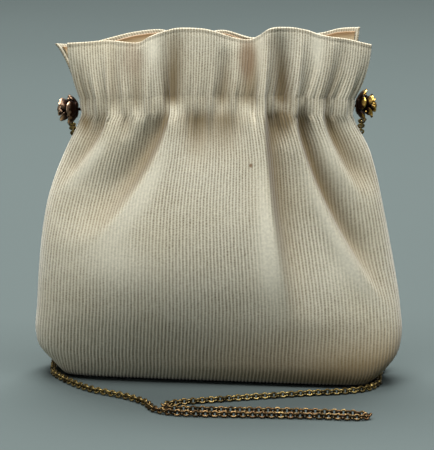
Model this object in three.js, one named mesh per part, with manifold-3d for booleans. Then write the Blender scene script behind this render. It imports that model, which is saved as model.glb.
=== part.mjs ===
// Evening purse: a ribbed ivory cloth pouch gathered at a casing, with a frill above it, a metal rose on
// each end of the casing and one chain strap from rose to rose.
// Millimetres, +Z up. The origin is the middle of the flat base, the front faces -Y and +X is the viewer's
// right.
import * as THREE from 'three';
import { mergeVertices } from 'three/addons/utils/BufferGeometryUtils.js';
import Module from 'manifold-3d';

// Cloth thicknesses, and the gaps kept between the cloth and its lining and between other pieces
const CLOTH_WALL = 1.6;
const LINING_WALL = 1.0;
const LINING_GAP = 0.5;
const GAP = 0.3;

// Points closer than this are one
const WELD_DISTANCE = 1e-4;

// Columns of the cloth across the front and across the back, and the finer sampling that they are spaced on
const FRONT_COLUMNS = 42;
const BACK_COLUMNS = 26;
const SAMPLES = 300;

// Half the width of the strip of cloth at each side seam, which is open from the casing to the rim
const SEAM_HALF = 2.2;

// Level sections of the body from the base up to the top of the casing. Each is a superellipse with its
// reach to the left, to the right and to front and back. Droop is how far its ends hang below its middle,
// and turn is the shift of y with x.
const LEVELS = [
  { z: 0, left: 84.5, right: 82.5, depth: 13, squareness: 7, droop: 0, turn: -0.14 },
  { z: 3, left: 87, right: 85.5, depth: 20.5, squareness: 6.5, droop: 0, turn: -0.14 },
  { z: 9, left: 92.5, right: 92.5, depth: 24.5, squareness: 5, droop: 0, turn: -0.125 },
  { z: 17, left: 99.5, right: 99.5, depth: 27.3, squareness: 3.8, droop: 0, turn: -0.1 },
  { z: 23, left: 101, right: 101.6, depth: 29.2, squareness: 3.3, droop: 0, turn: -0.08 },
  { z: 42, left: 100, right: 101.4, depth: 34.7, squareness: 2.7, droop: 0, turn: -0.035 },
  { z: 64, left: 98.6, right: 98.2, depth: 38.4, squareness: 2.4, droop: 0, turn: -0.01 },
  { z: 85, left: 96.3, right: 94.2, depth: 38.4, squareness: 2.25, droop: 0, turn: 0 },
  { z: 103, left: 93, right: 90.6, depth: 36.3, squareness: 2.15, droop: 0.3, turn: 0 },
  { z: 117, left: 88.6, right: 87.8, depth: 33.8, squareness: 2.1, droop: 0.8, turn: 0 },
  { z: 129, left: 83.8, right: 84.4, depth: 31.7, squareness: 2.1, droop: 1.5, turn: 0 },
  { z: 139.5, left: 79.5, right: 80, depth: 29.9, squareness: 2.1, droop: 3, turn: 0 },
  { z: 148, left: 76, right: 76, depth: 28.4, squareness: 2.1, droop: 4.3, turn: 0 },
  { z: 152.5, left: 75, right: 75, depth: 27.6, squareness: 2.1, droop: 4.5, turn: 0 },
  { z: 157, left: 75.2, right: 75.2, depth: 27, squareness: 2.1, droop: 4.5, turn: 0 },
  { z: 161.5, left: 75.4, right: 75.4, depth: 26.4, squareness: 2.1, droop: 4.5, turn: 0 },
];
// The lowest level at which the side seams are open: the bottom of the casing
const SLIT_LEVEL = 13;

// Power of the share of a row by which the side seams hold the folds level
const SEAM_HOLD = 8;

// Folds that fan out from the casing. Each is a step of the cloth along an edge that runs from topX to endX
// and bows out on its way down: the cloth drops by depth on the edge's outer side, left for side -1 and
// right for side 1, and climbs back over a few times the reach, while a low ridge follows the inner side.
const FOLD_TOP = 152.5;
const FOLD_BOW = 1.5;
const FOLD_ROUND = 2;
const FOLD_HOLD = 0.4;
// The facets are coarser than the cloth, so they take the folds wider and shallower than the table
const FACET_WIDTH = 1.5;
const FACET_DEPTH = 0.7;
const FRONT_FOLDS = [
  { topX: -58.5, endX: -90, endZ: 104, side: -1, depth: 6, topReach: 5, endReach: 9, ridge: 1.2 },
  { topX: -25.5, endX: -64, endZ: 84, side: -1, depth: 9, topReach: 5, endReach: 10, ridge: 1.2 },
  { topX: 25, endX: 41, endZ: 60, side: 1, depth: 7, topReach: 5, endReach: 11, ridge: 1 },
  { topX: 42, endX: 86, endZ: 60, side: 1, depth: 10, topReach: 3.4, endReach: 8, ridge: 0.8 },
  { topX: 57.5, endX: 79, endZ: 104, side: 1, depth: 7, topReach: 3.5, endReach: 7, ridge: 1.2 },
];
const BACK_FOLDS = [
  { topX: -56, endX: -80, endZ: 100, side: -1, depth: 4, topReach: 5, endReach: 10, ridge: 1.2 },
  { topX: -20, endX: -40, endZ: 84, side: -1, depth: 5, topReach: 5, endReach: 13, ridge: 1.5 },
  { topX: 22, endX: 44, endZ: 80, side: 1, depth: 5, topReach: 5, endReach: 13, ridge: 1.5 },
  { topX: 54, endX: 78, endZ: 98, side: 1, depth: 4, topReach: 5, endReach: 10, ridge: 1.2 },
];
// Short hollows between the folds, just under the casing
const FRONT_HOLLOWS = [
  { x: -49.5, endZ: 136, depth: 2.5, width: 3.5 },
  { x: -12, endZ: 130, depth: 5, width: 8 },
  { x: 5, endZ: 130, depth: 4.5, width: 7 },
  { x: 49.5, endZ: 142, depth: 2, width: 2.5 },
];
const BACK_HOLLOWS = [
  { x: -38, endZ: 134, depth: 2.5, width: 7 },
  { x: 2, endZ: 130, depth: 3, width: 8 },
  { x: 40, endZ: 134, depth: 2.5, width: 7 },
];
// The casing flattens the folds to a share of their depth between these heights
const CASING_BOTTOM = 146;
const CASING_GRIP = 159;
const CASING_FOLD_SHARE = 0.4;

// Top edge of each frill from the left side seam to the right one
const FRONT_RIM = [
  { x: -81.5, y: -4, z: 186.9 },
  { x: -71.7, y: -4.5, z: 187.8 },
  { x: -60.7, y: -8.5, z: 189.2 },
  { x: -51.3, y: -13, z: 189.2 },
  { x: -42.6, y: -13.5, z: 189.0 },
  { x: -36.1, y: -16, z: 192.6 },
  { x: -22.5, y: -20, z: 197.0 },
  { x: -9.1, y: -20, z: 197.2 },
  { x: -1.1, y: -21, z: 195.8 },
  { x: 9.7, y: -17, z: 192.0 },
  { x: 17.8, y: -16.5, z: 190.8 },
  { x: 22.1, y: -17, z: 192.8 },
  { x: 27.4, y: -18.5, z: 196.5 },
  { x: 39.3, y: -16.5, z: 197.3 },
  { x: 47.4, y: -14, z: 195.9 },
  { x: 54.5, y: -13.5, z: 193.4 },
  { x: 61.0, y: -12, z: 191.8 },
  { x: 72.0, y: -8, z: 189.6 },
  { x: 84.2, y: -4, z: 186.1 },
];
const BACK_RIM = [
  { x: -88.5, y: 4, z: 185.2 },
  { x: -74, y: 12, z: 184.1 },
  { x: -60, y: 17, z: 186.9 },
  { x: -45, y: 23, z: 189.6 },
  { x: -30, y: 25, z: 190.7 },
  { x: -14, y: 18, z: 188.7 },
  { x: 4, y: 25, z: 190.4 },
  { x: 22, y: 21, z: 186.9 },
  { x: 38, y: 25, z: 190.4 },
  { x: 56, y: 19, z: 189.4 },
  { x: 68, y: 15, z: 192.6 },
  { x: 78.5, y: 8, z: 194 },
];
// Rows of the frill as shares of its height, and the power of those shares by which it leans out late
const FRILL_ROWS = [0.14, 0.36, 0.66, 1];
const FRILL_LEAN = 1.5;

// Gathers that start within the casing and climb the frill: place, depth, half width, the share of the
// frill's height that each climbs, and how far it slants sideways over the whole height
const GATHER_FOOT = 152.5;
const FRONT_GATHERS = [
  { x: -53, depth: 3.2, width: 4, reach: 0.9, slant: 0 },
  { x: -22, depth: 4.6, width: 4, reach: 1, slant: 0 },
  { x: 3, depth: 3, width: 4, reach: 0.8, slant: 0 },
  { x: 17, depth: 4, width: 4.5, reach: 1, slant: 0 },
  { x: 35, depth: 4.4, width: 4, reach: 1, slant: -7 },
  { x: 58, depth: 3.6, width: 4.5, reach: 1, slant: 0 },
];
const BACK_GATHERS = [
  { x: -58, depth: 3, width: 7, reach: 0.9, slant: 0 },
  { x: -34, depth: 3, width: 7, reach: 0.7, slant: 0 },
  { x: -12, depth: 3.2, width: 7, reach: 1, slant: 0 },
  { x: 14, depth: 3.2, width: 7, reach: 0.9, slant: 0 },
  { x: 42, depth: 3.2, width: 7, reach: 0.8, slant: 0 },
];

// Each half of the cloth. Spread is the power of the share of the frill's height still to climb by which
// the frill has yet to spread sideways.
const FRONT = {
  facing: -1, folds: FRONT_FOLDS, hollows: FRONT_HOLLOWS, rim: FRONT_RIM, gathers: FRONT_GATHERS, spread: 2,
  columns: FRONT_COLUMNS,
};
const BACK = {
  facing: 1, folds: BACK_FOLDS, hollows: BACK_HOLLOWS, rim: BACK_RIM, gathers: BACK_GATHERS, spread: 0.75,
  columns: BACK_COLUMNS,
};

// The lining starts below the casing, ends short of the rim and stops this many columns short of each seam
const LINING_FIRST_ROW = 12;
const LINING_RIM_SHARE = 0.93;
const LINING_SIDE_COLUMNS = 1;

// Roses: seats at the ends of the casing, and sizes along and across the axis that points away from the pouch
const ROSE_SEAT_X = 75.6;
const ROSES = [
  { name: 'left_rose', hand: -1, z: 150.4 },
  { name: 'right_rose', hand: 1, z: 152.3 },
];
const POST_RADIUS = 0.8;
const POST_SIDES = 8;
const POST_SINK = 0.7;
const RIVET_RADIUS = 1.9;
const RIVET_DEPTH = 5;
const RIVET_SIDES = 8;
const RIVET_ROWS = 5;
const STEM_SIDES = 8;
// The stem's profile outside the cloth: calyx, neck and bud
const STEM = [
  { radius: 0, height: 0 },
  { radius: 3, height: 0 },
  { radius: 4.7, height: 0.7 },
  { radius: 5.1, height: 1.7 },
  { radius: 4.4, height: 2.6 },
  { radius: 2.2, height: 3.4 },
  { radius: 2, height: 6.2 },
  { radius: 3, height: 9 },
  { radius: 2.8, height: 10.3 },
  { radius: 0, height: 11.7 },
];
// The eye that carries the chain lies below the axis and behind it
const EYE_RADIUS = 1.8;
const EYE_WIRE = 0.6;
const EYE_HEIGHT = 3.6;
const EYE_DROP = 6;
const EYE_BACK = 4.2;
const EYE_SIDES = 10;
const EYE_WIRE_SIDES = 5;
// Rings of cupped petals: reach from the axis at foot and tip, height at base and top, and curl of the edges
const PETAL_RINGS = [
  { count: 5, turn: 18, foot: 1.6, tip: 8, base: 1.4, top: 6.8, halfAngle: 38, curl: 0.5 },
  { count: 4, turn: 40, foot: 1.4, tip: 6, base: 4.6, top: 10.6, halfAngle: 44, curl: 0.4 },
  { count: 3, turn: 75, foot: 1, tip: 3.4, base: 7, top: 12, halfAngle: 52, curl: 0.2 },
];
const PETAL_THICKNESS = 0.9;
const PETAL_RISE = 1.5;
const PETAL_SIDES = 7;
const PETAL_ROWS = 4;

// Chain strap: outer radius of the run of links, and its route from the left rose to the right one
const CHAIN_RADIUS = 2.1;
const CHAIN_SIDES = 8;
const CHAIN_STEPS_PER_POINT = 2;
const CHAIN_FLOOR = 2.3;
const CHAIN_ROUTE = [
  [-79.6, 5, 141.1],
  [-79.4, 11.5, 136.5],
  [-78, 18, 125],
  [-79.5, 26.5, 98],
  [-83, 31, 55],
  [-85.5, 36, 17],
  [-87.5, 35, 6],
  [-91.5, 26, 2.9],
  [-92, 12, CHAIN_FLOOR],
  [-91.2, 0, CHAIN_FLOOR],
  [-82.6, -17.9, CHAIN_FLOOR],
  [-69.3, -35.6, CHAIN_FLOOR],
  [-48.3, -52, CHAIN_FLOOR],
  [-38.6, -63, CHAIN_FLOOR],
  [-33.5, -76, CHAIN_FLOOR],
  [-24, -83, CHAIN_FLOOR],
  [-11.6, -85.6, CHAIN_FLOOR],
  [14.8, -87.5, CHAIN_FLOOR],
  [54.2, -90.4, CHAIN_FLOOR],
  [75, -92.6, CHAIN_FLOOR],
  [80, -90, CHAIN_FLOOR],
  [75, -86, CHAIN_FLOOR],
  [54.5, -82, CHAIN_FLOOR],
  [-11.7, -76.5, CHAIN_FLOOR],
  [-24, -75, CHAIN_FLOOR],
  [-28.6, -70.4, CHAIN_FLOOR],
  [-23, -64.5, CHAIN_FLOOR],
  [1.6, -57, CHAIN_FLOOR],
  [48.8, -44.9, CHAIN_FLOOR],
  [69.6, -40.8, CHAIN_FLOOR],
  [82.5, -34, CHAIN_FLOOR],
  [88.8, -22, CHAIN_FLOOR],
  [90.2, -4, CHAIN_FLOOR],
  [93, 5, 3.5],
  [94.6, 12, 9],
  [92.5, 23, 19],
  [86, 28.5, 42],
  [79, 25, 106],
  [79.4, 11.5, 136.5],
  [79.6, 5, 143],
];

const { clamp, degToRad, lerp, smoothstep } = THREE.MathUtils;
const wasm = await Module();
wasm.setup();

function bell(offset) {
  return Math.exp(-(offset ** 2));
}

function vertexOnly(geometry) {
  const plain = geometry.index ? geometry.toNonIndexed() : geometry.clone();
  plain.deleteAttribute('normal');
  plain.deleteAttribute('uv');
  return mergeVertices(plain, WELD_DISTANCE);
}

function solidOf(geometry) {
  const merged = vertexOnly(geometry);
  return new wasm.Manifold(new wasm.Mesh({
    numProp: 3,
    vertProperties: merged.getAttribute('position').array,
    triVerts: new Uint32Array(merged.index.array),
  }));
}

function geometryOf(solid) {
  const mesh = solid.getMesh();
  const geometry = new THREE.BufferGeometry();
  geometry.setAttribute('position', new THREE.BufferAttribute(mesh.vertProperties, 3));
  geometry.setIndex(new THREE.BufferAttribute(mesh.triVerts, 1));
  geometry.computeVertexNormals();
  return geometry;
}

function union(geometries) {
  const [first, ...rest] = geometries.map(solidOf);
  return geometryOf(rest.reduce((whole, solid) => whole.add(solid), first));
}

// How far the folds stand out of a section at x and height z. A valley is a power of t * e^(1 - t), t being
// the distance past the fold's edge in reaches. A ridge is a bell about the edge that is narrower outside.
function foldPush({ folds, hollows }, x, z) {
  const fallTo = (endZ) => clamp((FOLD_TOP - z) / (FOLD_TOP - endZ), 0, 1);
  let push = 0;
  for (const fold of folds) {
    const fall = fallTo(fold.endZ);
    const edge = lerp(fold.topX, fold.endX, fall ** FOLD_BOW);
    const reach = FACET_WIDTH * lerp(fold.topReach, fold.endReach, fall);
    const beyond = ((x - edge) * fold.side) / reach;
    const outside = Math.max(beyond, 0);
    const valley = (outside * Math.exp(1 - outside)) ** FOLD_ROUND;
    const ridge = bell(beyond < 0 ? beyond : 2 * beyond);
    push += (fold.ridge * ridge - FACET_DEPTH * fold.depth * valley) * (1 - smoothstep(fall, FOLD_HOLD, 1));
  }
  for (const hollow of hollows) {
    const fade = 1 - smoothstep(fallTo(hollow.endZ), 0, 1);
    push -= hollow.depth * fade * bell((x - hollow.x) / hollow.width);
  }
  return push * (1 - (1 - CASING_FOLD_SHARE) * smoothstep(z, CASING_BOTTOM, CASING_GRIP));
}

// How deep the gathers are pressed in at x and at a share of the frill's height
function gatherDepth(gathers, x, share) {
  let depth = 0;
  for (const gather of gathers) {
    const climb = Math.max(0, 1 - (share / gather.reach) ** 2);
    depth += gather.depth * climb * bell((x - gather.x - gather.slant * share) / gather.width);
  }
  return depth;
}

// Points evenly spaced along a fine line of points, as the threads of the cloth are
function evenlySpaced(line, columns) {
  const along = [0];
  for (let k = 1; k < line.length; k += 1) along.push(along[k - 1] + line[k].distanceTo(line[k - 1]));
  const points = [];
  let k = 0;
  for (let column = 0; column <= columns; column += 1) {
    const target = (along.at(-1) * column) / columns;
    while (k < line.length - 2 && along[k + 1] < target) k += 1;
    points.push(line[k].clone().lerp(line[k + 1], (target - along[k]) / (along[k + 1] - along[k])));
  }
  return points;
}

// Half of a level section from the left seam to the right one
function levelRow(level, half) {
  const { facing } = half;
  const power = 2 / level.squareness;
  const start = Math.asin((SEAM_HALF / level.depth) ** (1 / power));
  const line = [];
  for (let k = 0; k <= SAMPLES; k += 1) {
    const angle = lerp(start, Math.PI - start, k / SAMPLES);
    const across = -Math.sign(Math.cos(angle)) * Math.abs(Math.cos(angle)) ** power;
    const out = Math.sin(angle) ** power;
    const halfWidth = across < 0 ? level.left : level.right;
    const normal = new THREE.Vector3(
      Math.sign(across) * Math.abs(across) ** (level.squareness - 1) / halfWidth,
      facing * out ** (level.squareness - 1) / level.depth,
      0,
    ).normalize();
    const x = across * halfWidth;
    const y = facing * out * level.depth + level.turn * x;
    const point = new THREE.Vector3(x, y, level.z - level.droop * across ** 2);
    line.push(point.addScaledVector(normal, foldPush(half, x, level.z) * (1 - across ** SEAM_HOLD)));
  }
  const gathered = smoothstep(level.z, GATHER_FOOT, LEVELS.at(-1).z);
  const row = evenlySpaced(line, half.columns);
  for (const point of row) point.y -= facing * gathered * gatherDepth(half.gathers, point.x, 0);
  return row;
}

// One row of a frill, a share of the way from its foot on the casing to its rim
function frillRow(foot, rim, share, { facing, gathers, spread }) {
  return foot.map((low, column) => {
    const high = rim[column];
    const flat = low.y + facing * gatherDepth(gathers, low.x, 0);
    const x = lerp(low.x, high.x, 1 - (1 - share) ** spread);
    const y = lerp(flat, high.y, share ** FRILL_LEAN) - facing * gatherDepth(gathers, low.x, share);
    return new THREE.Vector3(x, y, lerp(low.z, high.z, share));
  });
}

// All rows of one half of the cloth from the base's edge to the rim, going round anticlockwise from above
function clothHalf(half) {
  const rows = LEVELS.map((level) => levelRow(level, half));
  const foot = rows.at(-1);
  const rimCurve = new THREE.CatmullRomCurve3(half.rim.map(({ x, y, z }) => new THREE.Vector3(x, y, z)));
  const rimRow = rimCurve.getSpacedPoints(half.columns);
  for (const share of FRILL_ROWS) rows.push(frillRow(foot, rimRow, share, half));
  return half.facing < 0 ? rows : rows.map((row) => row.reverse());
}

// The same rows moved into the cloth by a depth, square to the surface
function sunk(rows, depth) {
  return rows.map((row, r) => row.map((point, c) => {
    const along = row[Math.min(c + 1, row.length - 1)].clone().sub(row[Math.max(c - 1, 0)]);
    const up = rows[Math.min(r + 1, rows.length - 1)][c].clone().sub(rows[Math.max(r - 1, 0)][c]);
    return point.clone().addScaledVector(along.cross(up).normalize(), -depth);
  }));
}

// A closed wall between two grids of points. Cells that are open are left out and every free edge is
// closed. With a floor, the first row is closed by a fan round the middle of the base.
function wallGeometry(outer, inner, { ring = false, isOpen = () => false, floor = null } = {}) {
  const rows = outer.length;
  const columns = outer[0].length;
  const points = [...outer.flat(), ...inner.flat()];
  const indices = [];
  const at = (layer, row, column) => (layer * rows + row) * columns + (column % columns);
  const quad = (a, b, c, d) => indices.push(a, b, c, a, c, d);
  const hasCell = (row, column) => {
    const inRange = row >= 0 && row < rows - 1 && (ring || (column >= 0 && column < columns - 1));
    return inRange && !isOpen(row, (column + columns) % columns);
  };
  for (let row = 0; row < rows - 1; row += 1) {
    for (let column = 0; column < columns; column += 1) {
      if (!hasCell(row, column)) continue;
      const cell = (layer) => [
        at(layer, row, column), at(layer, row, column + 1),
        at(layer, row + 1, column + 1), at(layer, row + 1, column),
      ];
      const [a, b, c, d] = cell(0);
      const [e, f, g, h] = cell(1);
      quad(a, b, c, d);
      quad(e, h, g, f);
      if (!hasCell(row - 1, column) && !(floor && row === 0)) quad(a, e, f, b);
      if (!hasCell(row + 1, column)) quad(d, c, g, h);
      if (!hasCell(row, column - 1)) quad(a, d, h, e);
      if (!hasCell(row, column + 1)) quad(b, f, g, c);
    }
  }
  if (floor) {
    const under = points.push(new THREE.Vector3(0, 0, floor.under)) - 1;
    const over = points.push(new THREE.Vector3(0, 0, floor.over)) - 1;
    for (let column = 0; column < columns; column += 1) {
      indices.push(under, at(0, 0, column + 1), at(0, 0, column));
      indices.push(over, at(1, 0, column), at(1, 0, column + 1));
    }
  }
  const geometry = new THREE.BufferGeometry().setFromPoints(points);
  geometry.setIndex(indices);
  return vertexOnly(geometry);
}

const frontRows = clothHalf(FRONT);
const backRows = clothHalf(BACK);

// The whole pouch: the front and back halves joined at their side seams, and closed by the base
function pouchGeometry() {
  const joined = (front, back) => front.map((row, r) => [...row, ...back[r]]);
  const outer = joined(frontRows, backRows);
  const inner = joined(sunk(frontRows, CLOTH_WALL), sunk(backRows, CLOTH_WALL));
  for (const point of inner[0]) point.z = CLOTH_WALL;
  const seamCells = [FRONT_COLUMNS, FRONT_COLUMNS + 1 + BACK_COLUMNS];
  const isOpen = (row, column) => row >= SLIT_LEVEL && seamCells.includes(column);
  return wallGeometry(outer, inner, { ring: true, isOpen, floor: { under: 0, over: CLOTH_WALL } });
}

// Lining of one half: from below the casing to just under the rim, clear of the side seams
function liningGeometry(rows) {
  const layer = (depth) => {
    const faced = sunk(rows, depth).slice(LINING_FIRST_ROW);
    const rim = faced.pop();
    const below = faced.at(-1);
    faced.push(rim.map((point, c) => below[c].clone().lerp(point, LINING_RIM_SHARE)));
    return faced.map((row) => row.slice(LINING_SIDE_COLUMNS, row.length - LINING_SIDE_COLUMNS));
  };
  return wallGeometry(layer(CLOTH_WALL + LINING_GAP), layer(CLOTH_WALL + LINING_GAP + LINING_WALL));
}

// A cupped petal: a disc of polar coordinates wrapped onto a bowl round the rose's axis, whose reach grows
// early and whose height grows late
function petalGeometry(ring, azimuth) {
  const rings = [];
  for (let row = 0; row <= PETAL_ROWS; row += 1) {
    const turn = (Math.PI * row) / PETAL_ROWS;
    const reach = Math.sin(turn);
    const skin = Math.cos(turn) * PETAL_THICKNESS / 2;
    const points = [];
    for (let side = 0; side < PETAL_SIDES; side += 1) {
      const angle = (2 * Math.PI * side) / PETAL_SIDES;
      const along = (1 + reach * Math.cos(angle)) / 2;
      const across = reach * Math.sin(angle);
      const spread = Math.sin((along * Math.PI) / 2);
      const radius = lerp(ring.foot, ring.tip, spread) + ring.curl * across ** 2 + skin * along;
      const height = lerp(ring.base, ring.top, along ** PETAL_RISE) - skin * (1 - along);
      const bearing = azimuth + across * degToRad(ring.halfAngle);
      points.push(new THREE.Vector3(radius * Math.cos(bearing), radius * Math.sin(bearing), height));
    }
    rings.push(points);
  }
  const indices = [];
  const at = (row, side) => row * PETAL_SIDES + (side % PETAL_SIDES);
  for (let row = 0; row < PETAL_ROWS; row += 1) {
    for (let side = 0; side < PETAL_SIDES; side += 1) {
      if (row > 0) indices.push(at(row, side), at(row, side + 1), at(row + 1, side + 1));
      if (row < PETAL_ROWS - 1) indices.push(at(row, side), at(row + 1, side + 1), at(row + 1, side));
    }
  }
  const geometry = new THREE.BufferGeometry().setFromPoints(rings.flat());
  geometry.setIndex(indices);
  return geometry;
}

// A rose about the Z axis, its seat at height 0 and its post below: stem, post, rivet head, eye and petals
function roseGeometry(hand) {
  const profile = STEM.map(({ radius, height }) => new THREE.Vector2(radius, height));
  const postLength = RIVET_DEPTH + POST_SINK;
  const post = new THREE.CylinderGeometry(POST_RADIUS, POST_RADIUS, postLength, POST_SIDES);
  const pieces = [
    new THREE.LatheGeometry(profile, STEM_SIDES).rotateX(Math.PI / 2),
    post.rotateX(Math.PI / 2).translate(0, 0, postLength / 2 - RIVET_DEPTH),
    new THREE.SphereGeometry(RIVET_RADIUS, RIVET_SIDES, RIVET_ROWS).translate(0, 0, -RIVET_DEPTH),
    new THREE.TorusGeometry(EYE_RADIUS, EYE_WIRE, EYE_WIRE_SIDES, EYE_SIDES)
      .translate(hand * EYE_BACK, -EYE_DROP, EYE_HEIGHT),
  ];
  for (const ring of PETAL_RINGS) {
    for (let petal = 0; petal < ring.count; petal += 1) {
      pieces.push(petalGeometry(ring, degToRad(ring.turn + (360 * petal) / ring.count)));
    }
  }
  return union(pieces);
}

// A route whose steps follow its hand-placed points, so that tight turns keep their shape
class Route extends THREE.CatmullRomCurve3 {
  getPointAt(u, target) {
    return this.getPoint(u, target);
  }

  getTangentAt(u, target) {
    return this.getTangent(u, target);
  }
}

function chainGeometry() {
  const section = new THREE.Shape();
  for (let side = 0; side < CHAIN_SIDES; side += 1) {
    const angle = (2 * Math.PI * (side + 0.5)) / CHAIN_SIDES;
    const place = [CHAIN_RADIUS * Math.cos(angle), CHAIN_RADIUS * Math.sin(angle)];
    if (side === 0) section.moveTo(...place);
    else section.lineTo(...place);
  }
  const route = new Route(CHAIN_ROUTE.map((place) => new THREE.Vector3(...place)));
  const steps = CHAIN_STEPS_PER_POINT * (CHAIN_ROUTE.length - 1);
  return new THREE.ExtrudeGeometry(section, { steps, bevelEnabled: false, extrudePath: route });
}

const clothMaterial = new THREE.MeshStandardMaterial({ color: 0xd8d2ba, roughness: 0.85, metalness: 0 });
const liningMaterial = new THREE.MeshStandardMaterial({ color: 0xb89a70, roughness: 0.7, metalness: 0 });
const roseMaterial = new THREE.MeshStandardMaterial({ color: 0xa8823e, roughness: 0.35, metalness: 1 });
const chainMaterial = new THREE.MeshStandardMaterial({ color: 0x7a6038, roughness: 0.4, metalness: 1 });

const purse = new THREE.Group();

function addPiece(name, geometry, material, parent = purse) {
  const mesh = new THREE.Mesh(geometry, material.clone());
  mesh.name = name;
  parent.add(mesh);
  return mesh;
}

addPiece('pouch', pouchGeometry(), clothMaterial);
addPiece('front_lining', liningGeometry(frontRows), liningMaterial);
addPiece('back_lining', liningGeometry(backRows), liningMaterial);
for (const { name, hand, z } of ROSES) {
  const seat = new THREE.Group();
  seat.position.set(hand * (ROSE_SEAT_X + GAP), 0, z);
  const outward = new THREE.Vector3(hand, 0, 0);
  const upward = new THREE.Vector3(0, 0, 1);
  const sideways = new THREE.Vector3().crossVectors(upward, outward);
  seat.setRotationFromMatrix(new THREE.Matrix4().makeBasis(sideways, upward, outward));
  purse.add(seat);
  addPiece(name, roseGeometry(hand), roseMaterial, seat);
}
addPiece('chain', chainGeometry(), chainMaterial);

export default purse;
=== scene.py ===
"""Looks of a gathered evening purse: ribbed ivory cloth, tan facing, cast metal roses and a chain strap.

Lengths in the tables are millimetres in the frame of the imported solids: +Z up, the front faces -Y.
"""

from collections import namedtuple
from functools import partial

import bpy
import numpy as np
from bpy.props import FloatProperty, FloatVectorProperty, IntProperty, PointerProperty
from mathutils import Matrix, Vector


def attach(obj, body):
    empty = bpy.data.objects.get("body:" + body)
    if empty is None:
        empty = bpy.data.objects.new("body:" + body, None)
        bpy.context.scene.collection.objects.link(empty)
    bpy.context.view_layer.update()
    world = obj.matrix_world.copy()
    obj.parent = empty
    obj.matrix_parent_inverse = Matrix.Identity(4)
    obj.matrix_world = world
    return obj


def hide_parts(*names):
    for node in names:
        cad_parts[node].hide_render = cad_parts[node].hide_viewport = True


bl_info = {
    "name": "Gathered Evening Purse",
    "version": (1, 0, 0),
    "blender": (4, 5, 0),
    "location": "3D View > Sidebar > Purse",
    "description": "Makes the cloth, facing, roses and chain of a gathered evening purse",
    "category": "Add Mesh",
}

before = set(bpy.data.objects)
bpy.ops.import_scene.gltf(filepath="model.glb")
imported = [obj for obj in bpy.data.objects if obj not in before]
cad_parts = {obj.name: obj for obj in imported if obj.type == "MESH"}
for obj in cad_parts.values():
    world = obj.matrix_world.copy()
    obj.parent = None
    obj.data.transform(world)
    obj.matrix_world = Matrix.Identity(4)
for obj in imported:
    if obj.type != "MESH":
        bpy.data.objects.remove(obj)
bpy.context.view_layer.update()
MM = 0.001

# Level sections of the body: reach to the left, to the right and to front and back, how square the section
# is, how far its ends hang below its middle, and how far it turns, as the shift of y with x
Level = namedtuple("Level", "z left right depth squareness droop turn")
LEVELS = (
    Level(0, 84.5, 82.5, 13, 7, 0, -0.14),
    Level(3, 87, 85.5, 20.5, 6.5, 0, -0.14),
    Level(9, 92.5, 92.5, 24.5, 5, 0, -0.125),
    Level(17, 99.5, 99.5, 27.3, 3.8, 0, -0.1),
    Level(23, 101, 101.6, 29.2, 3.3, 0, -0.08),
    Level(42, 100, 101.4, 34.7, 2.7, 0, -0.035),
    Level(64, 98.6, 98.2, 38.4, 2.4, 0, -0.01),
    Level(85, 96.3, 94.2, 38.4, 2.25, 0, 0),
    Level(103, 93, 90.6, 36.3, 2.15, 0.3, 0),
    Level(117, 88.6, 87.8, 33.8, 2.1, 0.8, 0),
    Level(129, 83.8, 84.4, 31.7, 2.1, 1.5, 0),
    Level(139.5, 79.5, 80, 29.9, 2.1, 3, 0),
    Level(148, 76, 76, 28.4, 2.1, 4.3, 0),
    Level(152.5, 75, 75, 27.6, 2.1, 4.5, 0),
    Level(157, 75.2, 75.2, 27, 2.1, 4.5, 0),
    Level(161.5, 75.4, 75.4, 26.4, 2.1, 4.5, 0),
)
# Below the widest row the cords run straight down, and those past this share of a row crowd towards the
# seam
HELD = 0.7
# The cords are spaced as on a section this much flatter, so that they crowd less towards the side seams
CORD_FLATTENING = np.array([1, 0.6, 1])
# Power of the share of a row by which the side seams hold the folds level
SEAM_HOLD = 8

# Folds that fan out from the casing. Each is a step of the cloth along an edge that runs from top_x to end_x:
# the cloth drops by depth on the edge's outer side, left for side -1 and right for side 1, and climbs back
# over a few times the reach, while a low ridge follows the inner side. Past the share hold of its fall, the
# fold eases out.
Fold = namedtuple("Fold", "top_x end_x end_z side depth top_reach end_reach ridge hold")
# Height of the folds' upper ends, power of the fall by which their edges bow, and power that rounds the step
FOLD_TOP = 152.5
FOLD_BOW = 1.5
FOLD_ROUND = 1.45
FRONT_FOLDS = (
    Fold(-58.5, -90, 104, -1, 6, 5, 9, 1.2, 0.45),
    Fold(-25.5, -69, 78, -1, 8.5, 4.2, 16, 0.7, 0.45),
    Fold(25, 40, 34, 1, 8.5, 5.5, 12, 2.4, 0.45),
    Fold(42, 97, 38, 1, 10, 5, 9, 2.6, 0.6),
    Fold(57.5, 80, 102, 1, 9.5, 5.5, 14, 1.2, 0.6),
)
BACK_FOLDS = (
    Fold(-56, -80, 100, -1, 4, 5, 10, 1.2, 0.45),
    Fold(-20, -40, 84, -1, 5, 5, 13, 1.5, 0.45),
    Fold(22, 44, 80, 1, 5, 5, 13, 1.5, 0.45),
    Fold(54, 78, 98, 1, 4, 5, 10, 1.2, 0.45),
)
# Short hollows between the folds, just under the casing
Hollow = namedtuple("Hollow", "x end_z depth width")
FRONT_HOLLOWS = (
    # The first, beside the left rose, is mostly the rose's painted shadow: the seam flattens most of its dip
    Hollow(-72, 134, 5, 4.5),
    Hollow(-49.5, 136, 2.5, 3.5),
    Hollow(-11, 117, 4.4, 8),
    Hollow(5, 119, 3.8, 9),
    Hollow(36, 132, 6, 5.5),
    Hollow(49.5, 142, 2, 2.5),
)
BACK_HOLLOWS = (Hollow(-38, 134, 2.5, 7), Hollow(2, 130, 3, 8), Hollow(40, 134, 2.5, 7))

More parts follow.
